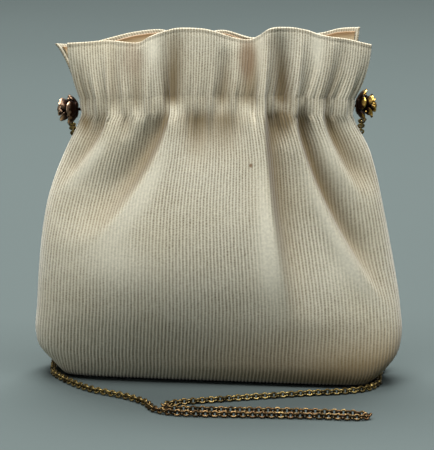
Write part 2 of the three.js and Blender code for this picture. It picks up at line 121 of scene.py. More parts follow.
# Top edge of each frill from the left side seam to the right one, as x, y and z
FRONT_RIM = (
    (-81.5, -4, 186.9), (-71.7, -4.5, 187.8), (-60.7, -8.5, 189.2), (-51.3, -13, 189.2),
    (-42.6, -13.5, 189.0), (-36.1, -16, 192.6), (-22.5, -20, 197.0), (-9.1, -20, 197.2),
    (-1.1, -21, 195.8), (9.7, -17, 192.0), (17.8, -16.5, 190.8), (22.1, -17, 192.8),
    (27.4, -18.5, 196.5), (39.3, -16.5, 197.3), (47.4, -14, 195.9), (54.5, -13.5, 193.4),
    (61.0, -12, 191.8), (72.0, -8, 189.6), (84.2, -4, 186.1),
)
BACK_RIM = (
    (-88.5, 4, 185.2), (-74, 12, 184.1), (-60, 17, 186.9), (-45, 23, 189.6), (-30, 25, 190.7),
    (-14, 18, 188.7), (4, 25, 190.4), (22, 21, 186.9), (38, 25, 190.4), (56, 19, 189.4),
    (68, 15, 192.6), (78.5, 8, 194),
)
# Power of the share of the frill's height by which it leans out late
FRILL_LEAN = 1.5

# Gathers at the foot of the frill: place, depth, half width, the share of the height that each climbs,
# and how far it slants sideways over the whole height
Gather = namedtuple("Gather", "x depth width reach slant")
FRONT_GATHERS = (
    Gather(-71, 1.4, 3, 0.7, 0),
    Gather(-56, 2.2, 4, 1.3, 2),
    Gather(-43, 2.6, 4, 0.9, 2),
    Gather(-24, 5, 5, 1.1, 2),
    Gather(3, 3, 4, 0.8, 0),
    Gather(17, 4, 5.5, 1.3, 0),
    Gather(35, 4.4, 4, 1, -7),
    Gather(58, 1.4, 4.5, 1, 3),
)
BACK_GATHERS = (
    Gather(-58, 3, 7, 0.9, 0),
    Gather(-34, 3, 7, 0.7, 0),
    Gather(-12, 3.2, 7, 1, 0),
    Gather(14, 3.2, 7, 0.9, 0),
    Gather(42, 3.2, 7, 0.8, 0),
)

# Each half of the cloth. What its frill has still to spread sideways is a power of the share of the height
# that is left to climb, and spread is that power.
Half = namedtuple("Half", "name facing folds hollows rim gathers spread")
FRONT = Half("front", -1, FRONT_FOLDS, FRONT_HOLLOWS, FRONT_RIM, FRONT_GATHERS, 2.0)
BACK = Half("back", 1, BACK_FOLDS, BACK_HOLLOWS, BACK_RIM, BACK_GATHERS, 0.75)

# Rows of the cloth: base, body up to the casing, and the fine rows of the casing and the frill
BASE_SHARES = (0.002, 0.3, 0.6, 0.85)
BODY_ROWS = 54
CASING_FOOT = 148.0
CASING_ROWS = 20
FRILL_SHARES = np.concatenate([
    [0.012, 0.025, 0.04, 0.06, 0.09],
    np.linspace(0.13, 0.91, 17),
    [0.93, 0.945, 0.955, 0.965, 0.978, 0.99, 1.0],
])
# Points worked out for each column of a section, and for each span of a rim, before the columns are spaced
SECTION_STEPS = 4
RIM_STEPS = 40
# The casing flattens the folds to a share of their depth between these heights, and the gathers start
# within it
CASING_BOTTOM = 140.0
CASING_GRIP = 159.0
CASING_FOLD_SHARE = 0.5
GATHER_FOOT = 146.0
# Height within the casing above which the gathers get painted shade
STITCH_FOOT = 153.0

# The side seams are sewn up to the casing and part there: gap of the seam and of the slit, heights between
# which it opens, and depth and half width of the dip along the seam
SEAM_GAP = 0.03
SLIT_GAP = 2.2
SLIT_START = 148.5
SLIT_END = 152.5
SEAM_DIP = 0.8
SEAM_DIP_WIDTH = 1.4

# Cross section of one cord of the cloth at its four columns: the share of the groove's depth
CORD_PROFILE = np.array([1.0, 0.12, 0.0, 0.12])
COLUMNS_PER_CORD = len(CORD_PROFILE)

# The rolled hem: its height, the depth and half width of its stitches' groove, and the lift of its edge
HEM_HEIGHT = 2.0
HEM_GROOVE = 0.16
HEM_GROOVE_WIDTH = 0.5
RIM_LIFT = 0.45

# Small puckers that the drawn casing leaves in the cloth: cycles over the half, depth and phase. They fade
# over a distance above and below the casing's two rows of stitches.
Pucker = namedtuple("Pucker", "cycles depth phase")
PUCKERS = (Pucker(17, 0.35, 0.4), Pucker(23, 0.35, 2.1), Pucker(37, 0.3, 4.0))
PUCKER_REACH = 9.0

# Painted shade lies past a fold's edge, as far as SHADE_REACH reaches. It sets in between two distances
# past the edge, also in reaches, and ends by a power of the fall. Folds, hollows and gathers are painted as
# dark as if they were deeper by these factors, darkest where that depth in millimetres is reached.
SHADE_REACH = 1.3
SHADE_FROM = -0.1
SHADE_FULL = 0.3
SHADE_FADE = 2
FOLD_SHADE = 0.9
HOLLOW_SHADE = 1.6
GATHER_SHADE = 1.5
SHADE_DEPTH = 7.0
# The painted shade of folds and hollows thins to a share of itself between these heights, at the casing's
# lower stitches
STITCHED_FROM = 148.0
STITCHED_TO = 157.0
STITCHED_SHADE = 0.2
# Painted shade near the base, darker towards the bottom: the depth of a fold that is painted as dark, its
# growth per millimetre to the right, and the height at which it ends
BASE_SHADE = 3.8
BASE_SHADE_SIDE = 0.016
BASE_SHADE_TOP = 48.0
# Dust on the handled rim, as a share of the thickest
RIM_DUST = 0.35
# Share of the cloth's own colour that the darkest painted shade and the thickest rim dust cover
SHADE_AND_DUST_COVER = 0.85

# The cords are rubbed smooth just inside a fold's edge, a band that also stands for a painted highlight:
# strength, and middle and half width of the band in reaches. The wear sets in between two shares of the fall
# and ends by a power of it.
RUB_AND_HIGHLIGHT = 0.85
RUB_INSET = 0.45
RUB_WIDTH = 0.55
RUB_FROM = 0.1
RUB_FULL = 0.5
RUB_FADE = 4

# Marks on the cloth: place, reach along each axis and strength. The rubs are smooth places on the frill
# between the gathers and on the knees below the folds, mostly painted highlights that lose the groove colour
# and the yellowing. The stains are brown: the first is the speck on the front, the others are the browned
# dips of the frill.
Mark = namedtuple("Mark", "place reach strength")
RUBS_AND_HIGHLIGHTS = (
    Mark((-34, -17, 186), (4, 12, 8), 0.9),
    Mark((22.5, -18, 184), (2.6, 12, 14), 0.9),
    Mark((54, -15, 185), (3.4, 12, 11), 0.9),
    Mark((-56, -32, 74), (20, 18, 14), 0.6),
    Mark((26.5, -40, 70), (8, 18, 22), 0.5),
    Mark((70, -34, 70), (12, 18, 17), 0.55),
)
STAINS = (
    Mark((18.2, -32, 125), (1.5, 9, 1.5), 0.9),
    Mark((16, -17, 180), (7, 12, 17), 0.65),
    Mark((-46, -14, 180), (9, 12, 15), 0.35),
)
# Share of a stain's reach at which it starts to fade
STAIN_CORE = 0.3

# Range that a noise texture mostly keeps to
NOISE_RANGE = (0.3, 0.7)
# How the weave changes: size of a change across the cords, in cords, and along them, in millimetres, and the
# range of its values. Grooves wander, by shares of a cord; slubs and felted stretches hide them; picks crowd,
# by picks; and flecks darken and lighten the yarn.
WeaveChange = namedtuple("WeaveChange", "name cords run low high")
WEAVE_CHANGES = (
    WeaveChange("wander", 3.0, 9.0, -0.05, 0.05),
    WeaveChange("slub", 1.0, 6.0, 0.75, 1.0),
    WeaveChange("felting", 9.0, 22.0, 0.85, 1.0),
    WeaveChange("crowding", 1.2, 5.0, 0.0, 1.0),
    WeaveChange("fleck", 0.8, 1.5, 0.91, 1.06),
)

# Facing inside the frills: its gap to the cloth, its thickness, the lift of its edge, how many rows it ends
# below the rim, the height of its dark upper band, partly a brown edge and partly painted shade under the
# cloth's turned hem, how many cords it keeps from the side seams, the cloth's columns for each of its own,
# and over how many it is softened
FACING_GAP = 0.3
FACING_WALL = 1.0
FACING_LIFT = 0.25
FACING_TOP_ROWS = 5
FACING_HEM = 3.0
FACING_SIDE_CORDS = 1
FACING_COLUMN_STEP = 2
FACING_SOFTNESS = 9

# Roses: seat on the end of the casing, with sizes along and across the axis that points outwards
ROSE_SEAT_X = 75.9
LEFT_ROSE_Z = 150.4
RIGHT_ROSE_Z = 152.3
Turned = namedtuple("Turned", "radius height recess")
ROSE_STEM = (
    Turned(0, -6.9, 0.5), Turned(1.4, -6.4, 0.4), Turned(1.9, -5, 0.4), Turned(1.4, -3.6, 0.6),
    Turned(0.8, -3.2, 0.9), Turned(0.8, -0.02, 1), Turned(3, 0, 1), Turned(4.7, 0.7, 0.9),
    Turned(5.1, 1.7, 0.7), Turned(4.4, 2.6, 1), Turned(2.2, 3.4, 1), Turned(2, 6.2, 1),
    Turned(2.6, 7.6, 0.8), Turned(3, 9, 0.45), Turned(2.8, 10.3, 0.2), Turned(1.9, 11.2, 0.1),
    Turned(0, 11.7, 0.3),
)
STEM_SIDES = 20
# Rings of petals: count and turn, reach at the foot and at the tip, height at the base and at the top, half
# the angle that a petal spans, and how far its edges curl out
Ring = namedtuple("Ring", "count turn foot tip base top half_angle curl")
PETAL_RINGS = (
    Ring(5, 18, 1.6, 8.0, 0.6, 6.0, 36, 0.2),
    Ring(4, 40, 1.4, 6.0, 4.0, 10.0, 42, 0.2),
    Ring(3, 75, 1.0, 3.4, 6.6, 11.6, 50, 0.1),
)
PETAL_THICKNESS = 2.0
PETAL_ROWS = 11
PETAL_SIDES = 26
# The lip rolls back from a share of the petal's length on, the crease has a half width as a share of the
# petal's, and the petal rises by a power of its length
PETAL_LIP = 0.9
PETAL_LIP_START = 0.7
PETAL_CREASE = 0.2
PETAL_CREASE_WIDTH = 0.25
PETAL_RISE = 1.5
# Range of the petals' sizes, and how far they sway to either side, in degrees
PETAL_SIZES = (0.86, 1.06)
PETAL_SWAY = 9
ROSE_SEED = 11
# Recess, where tarnish stays: a petal's foot, by a power of the length still to go, and its inner side, a
# knob and the eye
FOOT_RECESS = 0.95
FOOT_FADE = 0.8
INNER_RECESS = 0.25
KNOB_RECESS = 0.35
EYE_RECESS = 0.5
# Small round tips between the petals: reach from the axis, height, radius, count and turn
Knob = namedtuple("Knob", "reach height radius count turn")
KNOBS = (Knob(7.6, 5.2, 0.9, 5, 54), Knob(5.8, 8.8, 0.75, 4, 85))
KNOB_ROWS = 7
KNOB_SIDES = 10
# The eye that carries the chain: steps along its ring and round its wire, its sizes, and its place
EYE_SIDES = 16
EYE_WIRE_SIDES = 8
EYE_RADIUS = 1.8
EYE_WIRE = 0.6
EYE_HEIGHT = 3.6
EYE_DROP = 6.0
EYE_BACK = 4.2

# Chain: points given from the left rose to the right one, on the middle line of its links. It hangs
# down, lies on the floor at one height, and climbs again.
CHAIN_FLOOR = 1.85
CHAIN_DOWN = (
    (-79.6, 5, 141.1), (-79.4, 11.5, 136.5), (-78, 18, 125), (-79.5, 26.5, 98), (-83, 31, 55),
    (-85.5, 36, 17), (-87.5, 35, 6), (-91.5, 26, 2.9),
)
CHAIN_LYING = (
    (-92, 12), (-91.2, 0), (-82.6, -17.9), (-69.3, -35.6), (-48.3, -52), (-38.6, -63), (-33.5, -76),
    (-24, -83), (-11.6, -85.6), (14.8, -87.5), (54.2, -90.4), (75, -92.6), (80, -90), (75, -86),
    (54.5, -82), (-11.7, -76.5), (-24, -75), (-28.6, -70.4), (-23, -64.5), (1.6, -57), (48.8, -44.9),
    (69.6, -40.8), (82.5, -34), (88.8, -22), (90.2, -4),
)
CHAIN_UP = (
    (93, 5, 3.5), (94.6, 12, 9), (92.5, 23, 19), (86, 28.5, 42), (79, 25, 106), (79.4, 11.5, 136.5),
    (79.6, 5, 143),
)
CHAIN_ROUTE = (*CHAIN_DOWN, *((x, y, CHAIN_FLOOR) for x, y in CHAIN_LYING), *CHAIN_UP)
# Points worked out for each span of the route, and steps along a link and round its wire
CHAIN_STEPS = 24
LINK_SIDES = 12
WIRE_SIDES = 6
# Links lie below the first height and hang above the second
LIE_HEIGHT = 5.0
HANG_HEIGHT = 25.0
# How far the links roll to either side of their turn, in degrees, and the ranges of their tones and reds.
# They redden between two distances in front of the purse's middle.
LINK_ROLL = 5
LINK_TONES = (0, 0.6)
LINK_REDS = (0.5, 1)
RED_FROM = 45
RED_TO = 80
CHAIN_SEED = 7

# Camera, in metres: its place and aim for the photograph's viewing angle, and its long lens in millimetres
CAMERA_PLACE = (0.0, -1.44889, 0.38823)
CAMERA_AIM = (0.0, 0.0, 0.0856)
CAMERA_LENS = 214.3

# Floor and lights, in metres: half the floor's width, where the lights point, and their places and sizes
FLOOR_HALF = 3.0
LIGHT_AIM = (0.0, 0.0, 0.08)
Light = namedtuple("Light", "name place size")
LIGHTS = (
    Light("key", (0.1, -1.2, 3.4), (4.2, 1.5)),
    Light("top", (-0.1, 0.9, 2.2), (1.6, 0.8)),
    Light("fill", (-1.8, -1.4, 0.5), (1.2, 1.2)),
)

# Triangles of a mesh that is all quads, and the numbers of a colour mix node's sockets
NO_TRIANGLES = np.zeros((0, 3), int)
MIX_SHARE, MIX_FIRST, MIX_SECOND, MIX_RESULT = 0, 6, 7, 2


def linear(hex_colour):
    """Linear red, green and blue of an sRGB hex colour."""
    srgb = np.array([int(hex_colour[k:k + 2], 16) for k in (1, 3, 5)]) / 255
    return tuple(np.where(srgb <= 0.04045, srgb / 12.92, ((srgb + 0.055) / 1.055) ** 2.4))


def rgba(rgb):
    """A colour with full opacity, as shader sockets take it."""
    return (*rgb, 1.0)


def colour(name, description, hex_colour):
    """A colour property with a default given as sRGB hex."""
    return FloatVectorProperty(
        name=name, description=description, subtype="COLOR", size=3, min=0, max=1, default=linear(hex_colour),
    )


def length(name, description, millimetres):
    """A length property with a default given in millimetres."""
    return FloatProperty(
        name=name, description=description, subtype="DISTANCE", unit="LENGTH", min=0, precision=5,
        default=millimetres * MM,
    )


def wattage(name, description, watts):
    """A light's power as a property with a default given in watts."""
    return FloatProperty(name=name, description=description, unit="POWER", min=0, default=watts)


class PurseClothSettings(bpy.types.PropertyGroup):
    """Sizes and colours of the ribbed cloth and its facing."""

    cords: IntProperty(
        name="Cords", description="Cords across each half of the cloth", default=113, min=20, max=114,
    )
    cord_depth: length("Cord depth", "Depth of the groove between two cords", 0.34)
    wall: length("Cloth", "Thickness of the cloth with its backing", 1.6)
    weft_pitch: length("Weft pitch", "Spacing of the dots that the weft shows in a groove", 1.4)
    cord: colour("Cord", "Ivory of the cords", "#cfcab6")
    # The groove colour is painted shade of the grooves between the cords, dotted by the weft
    groove: colour("Groove", "Shaded weft in the grooves", "#5a4d31")
    ageing: colour("Ageing", "Yellowed patches of the cloth", "#bfb494")
    # Painted shade in the folds, hollows and gathers and near the base, and dust on the rim
    dust: colour("Dust", "Dust in the folds and gathers", "#64522f")
    stain: colour("Stain", "Brown stains on the frill and the speck on the front", "#6f553b")
    facing: colour("Facing", "Tan facing inside the frills", "#c4b390")
    # Darker upper band of the facing: partly a brown edge, partly painted shade under the cloth's turned hem
    facing_edge_shade: colour("Facing hem", "Browned upper edge of the facing", "#7a5c34")


class PurseMetalSettings(bpy.types.PropertyGroup):
    """Sizes and colours of the roses and the chain."""

    link: length("Link", "Outer diameter of a chain link", 4.4)
    wire: length("Wire", "Thickness of a link's wire", 1.2)
    pitch: length("Pitch", "Length of chain that each link adds", 2.5)
    left_rose: colour("Left rose", "Worn bronze of the left rose", "#bfa083")
    right_rose: colour("Right rose", "Brighter gold of the right rose", "#c9a552")
    rose_patina: colour("Rose patina", "Dark tarnish in the hollows of the roses", "#23140d")
    brass: colour("Brass", "Worn brass of the chain", "#8f7c4c")
    copper: colour("Copper", "Browner links of the chain's front runs", "#644a33")
    chain_patina: colour("Chain patina", "Dark tarnish of the chain", "#1d170e")


class PurseStageSettings(bpy.types.PropertyGroup):
    """Floor and lights of the picture."""

    floor: colour("Floor", "Blue-grey paper that the purse stands on", "#434b4a")
    room: colour("Room", "Tint of the even light all round", "#faf9f4")
    key_power: wattage("Key light", "Power of the soft light above the front", 285)
    top_power: wattage("Top light", "Power of the soft light overhead", 150)
    fill_power: wattage("Fill light", "Power of the weak light low on the left", 10)
    ambient: FloatProperty(
        name="Ambient", description="Strength of the even light all round", default=0.05, min=0,
    )
    glints: FloatProperty(
        name="Glints", description="Brightness of the room that metal mirrors", default=0.35, min=0,
    )


def smoothstep(value, low, high):
    """Share from 0 at low to 1 at high that starts and ends level."""
    share = np.clip((value - low) / (high - low), 0, 1)
    return share * share * (3 - 2 * share)


def bell(offset):
    """Bell curve: 1 at no offset, falling away as e to the minus square."""
    return np.exp(-offset ** 2)


def unit(vectors):
    """Vectors scaled to length 1."""
    return vectors / np.linalg.norm(vectors, axis=-1, keepdims=True)


def stacked(*parts):
    """Arrays or numbers of one broadcast shape, laid side by side on a new last axis."""
    return np.stack(np.broadcast_arrays(*parts), axis=-1)


def full_turn(steps):
    """Angles in even steps once round."""
    return np.linspace(0, 2 * np.pi, steps, endpoint=False)


def cubic(share, start, stop, leave, arrive):
    """Cubic from start to stop that leaves and arrives with the given slopes per span."""
    return (
        (1 + 2 * share) * (1 - share) ** 2 * start
        + share * (1 - share) ** 2 * leave
        + share ** 2 * (3 - 2 * share) * stop
        + share ** 2 * (share - 1) * arrive
    )


def smooth_line(places, steps):
    """Centripetal Catmull-Rom line through places: each span is a cubic whose slopes weigh the spans
    beside it by the square roots of their lengths."""
    places = np.array(places, float)
    held = np.vstack([2 * places[0] - places[1], places, 2 * places[-1] - places[-2]])
    gaps = np.diff(held, axis=0)
    step = np.sqrt(np.linalg.norm(gaps, axis=1))[:, None]
    rate = gaps / step
    slope = rate[:-1] - (held[2:] - held[:-2]) / (step[:-1] + step[1:]) + rate[1:]
    share = np.linspace(0, 1, steps, endpoint=False)[None, :, None]
    leave = (slope[:-1] * step[1:-1])[:, None]
    arrive = (slope[1:] * step[1:-1])[:, None]
    spans = cubic(share, places[:-1, None], places[1:, None], leave, arrive)
    return np.vstack([spans.reshape(-1, 3), places[-1:]])


def cord_shares(run, columns):
    """Where the cords lie along rows of the given lengths, as shares of each. They are evenly spaced from the
    longest row up. Below it they keep that row's spacing from the middle out, and the outer ones crowd
    towards the seam."""
    even = np.linspace(-1, 1, columns)
    excess = run.max() / run[:, None]
    excess[np.argmax(run):] = 1
    outer = np.abs(even) * excess
    crowd = (excess - HELD) / (1 - HELD)
    crowded = 1 - (1 - HELD) * (np.maximum(excess - outer, 0) / (excess - HELD)) ** crowd
    return 0.5 + 0.5 * np.sign(even) * np.where(outer < HELD, outer, crowded)


def spaced(lines, shares, values=None):
    """Points at given shares of the length of each of a stack of lines, or other values that go with the
    lines' points. Every line's running length is scaled to 0 to 1, and the lines are laid end to end so that
    one interpolation serves them all."""
    steps = np.linalg.norm(np.diff(lines, axis=1), axis=2)
    along = np.concatenate([np.zeros((len(lines), 1)), np.cumsum(steps, axis=1)], axis=1)
    offset = 2.0 * np.arange(len(lines))[:, None]
    laid = (offset + along / along[:, -1:]).ravel()
    wanted = offset + shares
    values = lines if values is None else values
    return np.stack([np.interp(wanted, laid, values[..., axis].ravel()) for axis in range(3)], axis=2)


def surface_normals(grid):
    """Unit normals of a grid of points: the step along the columns crossed with the step up the rows."""
    across = np.gradient(grid, axis=1)
    up = np.gradient(grid, axis=0)
    return unit(np.cross(across, up))


def body_levels():
    """The table of levels as smooth rows: each column follows a cubic over the length of the side profile,
    with many rows up the body and close rows at the casing."""
    table = np.array(LEVELS, float)
    profile = np.hypot(np.diff(table[:, 0]), np.diff(table[:, 3]))
    knots = np.concatenate([[0], np.cumsum(profile)])
    casing = np.interp(CASING_FOOT, table[:, 0], knots)
    at = np.concatenate([
        np.linspace(0, casing, BODY_ROWS, endpoint=False), np.linspace(casing, knots[-1], CASING_ROWS),
    ])
    slopes = np.gradient(table, knots, axis=0)
    span = np.clip(np.searchsorted(knots, at, side="right") - 1, 0, len(knots) - 2)
    width = (knots[span + 1] - knots[span])[:, None]
    share = (at - knots[span])[:, None] / width
    rows = cubic(share, table[span], table[span + 1], slopes[span] * width, slopes[span + 1] * width)
    return [rows[:, column, None] for column in range(table.shape[1])]


def along_fold(fold, x, z):
    """How far down a fold a place lies, as a share of its fall, and how far past its edge in reaches. The
    edge bows out on its way down and the reach grows evenly."""
    fall = np.clip((FOLD_TOP - z) / (FOLD_TOP - fold.end_z), 0, 1)
    edge = fold.top_x + (fold.end_x - fold.top_x) * fall ** FOLD_BOW
    reach = fold.top_reach + (fold.end_reach - fold.top_reach) * fall
    return fall, (x - edge) * fold.side / reach


def hollow_depth(half, x, z):
    """How deep the hollows are at x and z: each is a bell that eases away below the casing."""
    return sum(
        hollow.depth
        * smoothstep(z, hollow.end_z, FOLD_TOP)
        * bell((x - hollow.x) / hollow.width)
        for hollow in half.hollows
    )


def casing_hold(z):
    """Share of the folds' depth that the casing leaves at height z."""
    return 1 - (1 - CASING_FOLD_SHARE) * smoothstep(z, CASING_BOTTOM, CASING_GRIP)


def fold_push(half, x, z):
    """How far the cloth stands out at x and z. A fold's valley is a power of t * e^(1 - t), t being the
    distance past its edge in reaches, and its ridge a bell about the edge that is narrower outside. Both ease
    to nothing between the fold's hold and its end, and hollows are pressed in beside them."""
    push = -hollow_depth(half, x, z)
    for fold in half.folds:
        fall, beyond = along_fold(fold, x, z)
        outside = np.maximum(beyond, 0)
        valley = (outside * np.exp(1 - outside)) ** FOLD_ROUND
        ridge = bell(np.where(beyond < 0, beyond, 2 * beyond))
        push = push + (fold.ridge * ridge - fold.depth * valley) * (1 - smoothstep(fall, fold.hold, 1))
    return push * casing_hold(z)


def fold_marks(half, x, z):
    """Painted shade and rubbing of the folds at x and z. The shade rises steeply at an edge and falls as a
    bell past it, and fills the hollows; both thin at the casing's stitches. More is painted near the base,
    darker towards the bottom. The rubbed band, also a painted highlight, is a bell just inside the edge,
    which starts below the casing and ends with the fold."""
    dust = HOLLOW_SHADE * hollow_depth(half, x, z)
    wear = np.zeros_like(dust)
    for fold in half.folds:
        fall, beyond = along_fold(fold, x, z)
        # Painted shade along the fold's edge
        crease = smoothstep(beyond, SHADE_FROM, SHADE_FULL) * bell(beyond / SHADE_REACH)
        dust = dust + FOLD_SHADE * fold.depth * crease * (1 - fall ** SHADE_FADE)
        band = bell((beyond + RUB_INSET) / RUB_WIDTH)
        # Rubbed band inside the edge, which also paints a highlight
        wear = wear + RUB_AND_HIGHLIGHT * band * smoothstep(fall, RUB_FROM, RUB_FULL) * (1 - fall ** RUB_FADE)
    # Painted shade near the base, darker towards the bottom and towards the right
    low = BASE_SHADE * (1 + BASE_SHADE_SIDE * x) * (1 - smoothstep(z, 0, BASE_SHADE_TOP))
    kept = 1 - (1 - STITCHED_SHADE) * smoothstep(z, STITCHED_FROM, STITCHED_TO)
    return dust * kept + low, wear


def gather_depth(half, x, share):
    """How deep the gathers are pressed in at x and at a share of the frill's height: each is a bell across x
    that slants sideways and fades as it climbs."""
    return sum(
        gather.depth
        * np.clip(1 - (share / gather.reach) ** 2, 0, 1)
        * bell((x - gather.x - gather.slant * share) / gather.width)
        for gather in half.gathers
    )


def body_grid(half, columns):
    """Body of one half: superellipse sections, x = reach * cos^(2/n) and y = depth * sin^(2/n), pushed in and
    out along their normals by the folds, with columns at even steps round each section, taken flatter and
    without the folds. Also gives the painted shade of the folds, hollows, gathers and base, and the rubbed
    bands that are also painted highlight."""
    z, left, right, depth, squareness, droop, turn = body_levels()
    power = 2 / squareness
    seam = SEAM_GAP + (SLIT_GAP - SEAM_GAP) * smoothstep(z, SLIT_START, SLIT_END)
    start = np.arcsin((seam / depth) ** (1 / power))
    angle = start + (np.pi - 2 * start) * np.linspace(0, 1, SECTION_STEPS * columns)
    across = -np.sign(np.cos(angle)) * np.abs(np.cos(angle)) ** power
    out = np.sin(angle) ** power
    reach = np.where(across < 0, left, right)
    x = across * reach
    normal = unit(stacked(
        np.sign(across) * np.abs(across) ** (squareness - 1) / reach,
        half.facing * out ** (squareness - 1) / depth,
        0.0,
    ))
    plain = stacked(x, half.facing * out * depth + turn * x, z - droop * across ** 2)
    flatter = plain * CORD_FLATTENING
    run = np.linalg.norm(np.diff(flatter, axis=1), axis=2).sum(axis=1)
    shares = cord_shares(run, columns)
    folded = plain + normal * (fold_push(half, x, z) * (1 - across ** SEAM_HOLD))[..., None]
    grid = spaced(flatter, shares, folded)
    dust, wear = fold_marks(half, grid[..., 0], z)
    gathers = gather_depth(half, grid[..., 0], 0)
    # Painted shade in the gathers, above the casing's stitches
    dust = dust + GATHER_SHADE * gathers * smoothstep(z, STITCH_FOOT, LEVELS[-1].z)
    grid[..., 1] -= half.facing * gathers * smoothstep(z, GATHER_FOOT, LEVELS[-1].z)
    return grid, dust, wear


def frill_grid(half, foot, foot_shade):
    """Frill of one half: each column runs from the foot to an evenly spaced place on the rim, spreading
    sideways and leaning late, with the gathers pressed in. Also gives its painted shade: that of the gathers,
    and that of the folds below, which thins as the square of the share of the height still to climb."""
    rim = spaced(smooth_line(half.rim, RIM_STEPS)[None], np.linspace(0, 1, len(foot)))[0]
    share = FRILL_SHARES[:, None]
    flat = foot[:, 1] + half.facing * gather_depth(half, foot[:, 0], 0)
    x = foot[:, 0] + (rim[:, 0] - foot[:, 0]) * (1 - (1 - share) ** half.spread)
    gathers = gather_depth(half, foot[:, 0], share)
    y = flat + (rim[:, 1] - flat) * share ** FRILL_LEAN - half.facing * gathers
    z = foot[:, 2] + (rim[:, 2] - foot[:, 2]) * share
    # Painted shade of the gathers, and that of the folds below, fading up the frill
    from_folds = foot_shade - GATHER_SHADE * gather_depth(half, foot[:, 0], 0)
    return stacked(x, y, z), GATHER_SHADE * gathers + from_folds * (1 - share) ** 2


def cloth_grid(half, columns):
    """Middle surface of one half from the base's centre line to the rim, with the puckers of the drawn
    casing, its painted shade and its rubbed bands, which are also painted highlight. Columns run so that the
    surface normals point out of the purse."""
    body, body_shade, body_wear_and_highlight = body_grid(half, columns)
    frill, frill_shade = frill_grid(half, body[-1], body_shade[-1])
    middle = body[:1] * [1, 0, 1] + body[:1, :, :1] * [0, LEVELS[0].turn, 0]
    base = middle + (body[:1] - middle) * np.array(BASE_SHARES)[:, None, None]
    grid = np.concatenate([base, body, frill])
    clean = np.zeros((len(BASE_SHARES), columns))
    dust = np.concatenate([clean, body_shade, frill_shade])
    wear = np.concatenate([clean, body_wear_and_highlight, np.zeros_like(frill_shade)])
    if half.facing > 0:
        grid, dust, wear = grid[:, ::-1], dust[:, ::-1], wear[:, ::-1]
    # Rubbed places, also painted highlights, on the frill and the knees
    for rub_and_highlight in RUBS_AND_HIGHLIGHTS:
        wear = wear + rub_and_highlight.strength * bell(np.linalg.norm((grid - rub_and_highlight.place) / rub_and_highlight.reach, axis=2))
    round_half = np.linspace(0, 2 * np.pi, columns)
    ripple = sum(pucker.depth * np.sin(pucker.cycles * round_half + pucker.phase) for pucker in PUCKERS)
    height = grid[..., 2]
    near = bell((height - FOLD_TOP) / PUCKER_REACH) + bell((height - LEVELS[-1].z) / PUCKER_REACH)
    grid = grid + surface_normals(grid) * (ripple * near)[..., None]
    return grid, np.clip(dust / SHADE_DEPTH, 0, 1), np.clip(wear, 0, 1)


def sheet_faces(rows, columns):
    """Faces of a closed sheet whose rows go up the outer side, over one rim row and down the inner side. The
    last row joins the first, and each end is closed by quads from outer to inner and one triangle at the
    rim."""
    count = 2 * rows + 1
    row = np.arange(count)[:, None] * columns
    above = np.roll(row, -1)
    column = np.arange(columns - 1)
    quads = stacked(row + column, row + column + 1, above + column + 1, above + column)
    low = np.arange(rows - 1)
    loop = stacked(low + 1, low, 2 * rows - low, 2 * rows - low - 1) * columns
    cap = np.array([rows + 1, rows, rows - 1]) * columns
    last = columns - 1
    quads = np.concatenate([quads.reshape(-1, 4), loop[:, ::-1], loop + last])
    return quads, np.stack([cap[::-1], cap + last])


def softened(values, width):
    """Values averaged over a given odd number of columns, with the end columns repeated past the ends."""
    margin = width // 2
    held = np.concatenate([values[:, :1]] * margin + [values] + [values[:, -1:]] * margin, axis=1)
    return sum(held[:, shift:shift + values.shape[1]] for shift in range(width)) / width


def closed_sheet(outer, inner, lift):
    """Points of a closed sheet: the outer rows, a rim row midway between the two top rows and lifted along
    the cloth, and the inner rows back down."""
    up = unit(outer[-1] - outer[-2])
    rim = (outer[-1] + inner[-1]) / 2 + lift * up
    return np.concatenate([outer, rim[None], inner[::-1]]).reshape(-1, 3)


def both_sides(values):
    """Values of the outer rows of a closed sheet, repeated on its rim row and on its inner rows."""
    return np.concatenate([values, values[-1:], values[::-1]])


def ball_faces(rows, sides):
    """Faces of a grid closed by a pole at each end, numbered pole, rings, pole."""
    ring = 1 + np.arange(rows - 3)[:, None] * sides
    side = np.arange(sides)
    following = (side + 1) % sides
    quads = stacked(ring + side, ring + following, ring + sides + following, ring + sides + side)
    last_ring = 1 + (rows - 3) * sides
    pole = last_ring + sides
    first = stacked(0, following + 1, side + 1)
    last = stacked(pole, last_ring + side, last_ring + following)
    return quads.reshape(-1, 4), np.concatenate([first, last])


def ball_points(grid):
    """Points of a grid with poles in the order of ball_faces. Leading axes are copies."""
    copies = grid.shape[:-3]
    rings = grid[..., 1:-1, :, :].reshape(*copies, -1, grid.shape[-1])
    return np.concatenate([grid[..., 0, :1, :], rings, grid[..., -1, :1, :]], axis=-2)


def hoop_faces(around, section):
    """Quads of a ring of wire: around steps along it and section steps round the wire."""
    place = np.arange(around)[:, None] * section
    following = np.roll(place, -1)
    side = np.arange(section)
    beside = (side + 1) % section
    return stacked(place + side, following + side, following + beside, place + beside).reshape(-1, 4)


def copied(points, *faces):
    """Points of many copies of a shape in one list, and each kind of the shape's faces for all the copies."""
    copies, each, width = points.shape
    starts = np.arange(copies)[:, None, None] * each
    return points.reshape(-1, width), *((kind + starts).reshape(-1, kind.shape[1]) for kind in faces)


